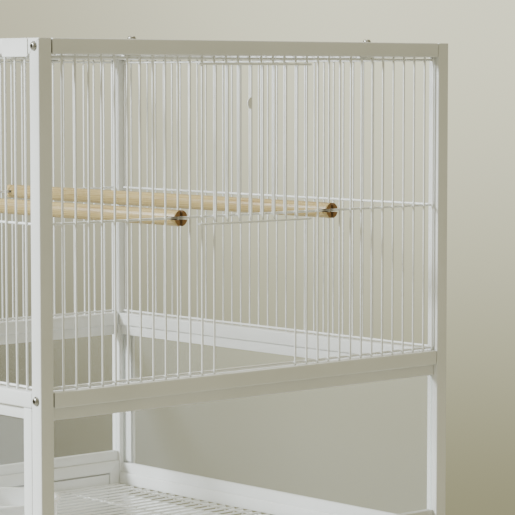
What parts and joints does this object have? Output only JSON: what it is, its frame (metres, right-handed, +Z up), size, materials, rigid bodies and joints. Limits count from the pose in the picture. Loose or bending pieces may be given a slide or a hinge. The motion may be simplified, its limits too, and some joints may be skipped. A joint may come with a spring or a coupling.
{
  "type": "bird cage on stand",
  "caption": "Square-tube bird cage with wire panels above, clear panels below, sliding side doors, a slide-out tray, and a rolling stand with a wire shelf.",
  "frame": {"origin": "on the floor under the middle of the frame", "axes": "+Z up; the front with the hinged door faces -Y; the sliding doors are on the left (-X) and right (+X)"},
  "size_m": [0.58, 0.563, 1.5028],
  "materials": {
    "white_paint": "satin white powder coat",
    "zinc_steel": "zinc plated",
    "wheel_rubber": "matt",
    "grey_plastic": "fine moulded texture",
    "clear_acrylic": "clear and polished",
    "wood": "bare sanded dowel",
    "white_plastic": "glossy white",
    "plate_enamel": "plain glossy white"
  },
  "bodies": {
    "cage": {"post_front_right": "white_paint", "post_front_left": "white_paint", "post_back_right": "white_paint", "post_back_left": "white_paint", "leg_front_right": "white_paint", "leg_front_left": "white_paint", "leg_back_right": "white_paint", "leg_back_left": "white_paint", "leg_joiners": "zinc_steel", "leg_plugs": "grey_plastic", "front_rails": "white_paint", "back_rails": "white_paint", "left_rails": "white_paint", "right_rails": "white_paint", "left_tray_frame": "white_paint", "right_tray_frame": "white_paint", "right_infill_panel": "white_paint", "rail_end_nuts": "zinc_steel", "frame_bolts": "zinc_steel", "roof_wire_panel": "white_paint", "front_wire_panel": "white_paint", "back_wire_panel": "white_paint", "left_wire_panel": "white_paint", "right_wire_panel": "white_paint", "front_channels": "white_paint", "back_channels": "white_paint", "left_channels": "white_paint", "right_channels": "white_paint", "front_clear_panel": "clear_acrylic", "back_clear_panel": "clear_acrylic", "left_clear_panel": "clear_acrylic", "right_clear_panel": "clear_acrylic", "front_perch": "wood", "back_perch": "wood", "floor_grate": "white_paint", "name_plate": "plate_enamel", "shelf_rails": "white_paint", "storage_shelf": "white_paint", "caster_stems": "zinc_steel"},
    "right_door": {"right_door": "white_paint"},
    "left_door": {"left_door": "white_paint"},
    "front_door": {"front_door": "white_paint"},
    "front_door_bolt": {"front_door_bolt": "zinc_steel"},
    "tray": {"tray": "white_paint"},
    "feeding_bowl": {"feeding_bowl": "white_plastic"},
    "water_bowl": {"water_bowl": "white_plastic"},
    "caster_front_right": {"caster_fork_front_right": "zinc_steel", "caster_axle_front_right": "zinc_steel"},
    "wheel_front_right": {"caster_wheel_front_right": "wheel_rubber"},
    "brake_front_right": {"caster_brake_front_right": "grey_plastic"},
    "caster_front_left": {"caster_fork_front_left": "zinc_steel", "caster_axle_front_left": "zinc_steel"},
    "wheel_front_left": {"caster_wheel_front_left": "wheel_rubber"},
    "brake_front_left": {"caster_brake_front_left": "grey_plastic"},
    "caster_back_right": {"caster_fork_back_right": "zinc_steel", "caster_axle_back_right": "zinc_steel"},
    "wheel_back_right": {"caster_wheel_back_right": "wheel_rubber"},
    "caster_back_left": {"caster_fork_back_left": "zinc_steel", "caster_axle_back_left": "zinc_steel"},
    "wheel_back_left": {"caster_wheel_back_left": "wheel_rubber"}
  },
  "joints": [
    {"name": "right_door_slide", "type": "slide", "parent": "cage", "child": "right_door", "axis": [0, 0, 1], "range_m": [-0.1435, 0]},
    {"name": "left_door_slide", "type": "slide", "parent": "cage", "child": "left_door", "axis": [0, 0, 1], "range_m": [0, 0.1435]},
    {"name": "front_door_hinge", "type": "hinge", "parent": "cage", "child": "front_door", "pos_m": [-0.131, -0.2694, 1.295], "axis": [0, 0, -1], "range_deg": [0, 110]},
    {"name": "front_door_bolt_slide", "type": "slide", "parent": "front_door", "child": "front_door_bolt", "axis": [1, 0, 0], "range_m": [0, 0.012]},
    {"name": "tray_slide", "type": "slide", "parent": "cage", "child": "tray", "axis": [-1, 0, 0], "range_m": [0, 0.42]},
    {"name": "feeding_bowl_lift", "type": "slide", "parent": "cage", "child": "feeding_bowl", "axis": [0, 0, 1], "range_m": [0, 0.12]},
    {"name": "water_bowl_lift", "type": "slide", "parent": "cage", "child": "water_bowl", "axis": [0, 0, 1], "range_m": [0, 0.12]},
    {"name": "caster_swivel_front_right", "type": "hinge", "parent": "cage", "child": "caster_front_right", "pos_m": [0.275, -0.265, 0.0615], "axis": [0, 0, 1], "continuous": true},
    {"name": "wheel_spin_front_right", "type": "hinge", "parent": "caster_front_right", "child": "wheel_front_right", "pos_m": [0.257, -0.265, 0.025], "axis": [0, 1, 0], "continuous": true},
    {"name": "brake_press_front_right", "type": "hinge", "parent": "caster_front_right", "child": "brake_front_right", "pos_m": [0.242, -0.265, 0.057], "axis": [0, -1, 0], "range_deg": [0, 20]},
    {"name": "caster_swivel_front_left", "type": "hinge", "parent": "cage", "child": "caster_front_left", "pos_m": [-0.275, -0.265, 0.0615], "axis": [0, 0, 1], "continuous": true},
    {"name": "wheel_spin_front_left", "type": "hinge", "parent": "caster_front_left", "child": "wheel_front_left", "pos_m": [-0.257, -0.265, 0.025], "axis": [0, 1, 0], "continuous": true},
    {"name": "brake_press_front_left", "type": "hinge", "parent": "caster_front_left", "child": "brake_front_left", "pos_m": [-0.242, -0.265, 0.057], "axis": [0, 1, 0], "range_deg": [0, 20]},
    {"name": "caster_swivel_back_right", "type": "hinge", "parent": "cage", "child": "caster_back_right", "pos_m": [0.275, 0.265, 0.0615], "axis": [0, 0, 1], "continuous": true},
    {"name": "wheel_spin_back_right", "type": "hinge", "parent": "caster_back_right", "child": "wheel_back_right", "pos_m": [0.257, 0.265, 0.025], "axis": [0, 1, 0], "continuous": true},
    {"name": "caster_swivel_back_left", "type": "hinge", "parent": "cage", "child": "caster_back_left", "pos_m": [-0.275, 0.265, 0.0615], "axis": [0, 0, 1], "continuous": true},
    {"name": "wheel_spin_back_left", "type": "hinge", "parent": "caster_back_left", "child": "wheel_back_left", "pos_m": [-0.257, 0.265, 0.025], "axis": [0, 1, 0], "continuous": true}
  ]
}
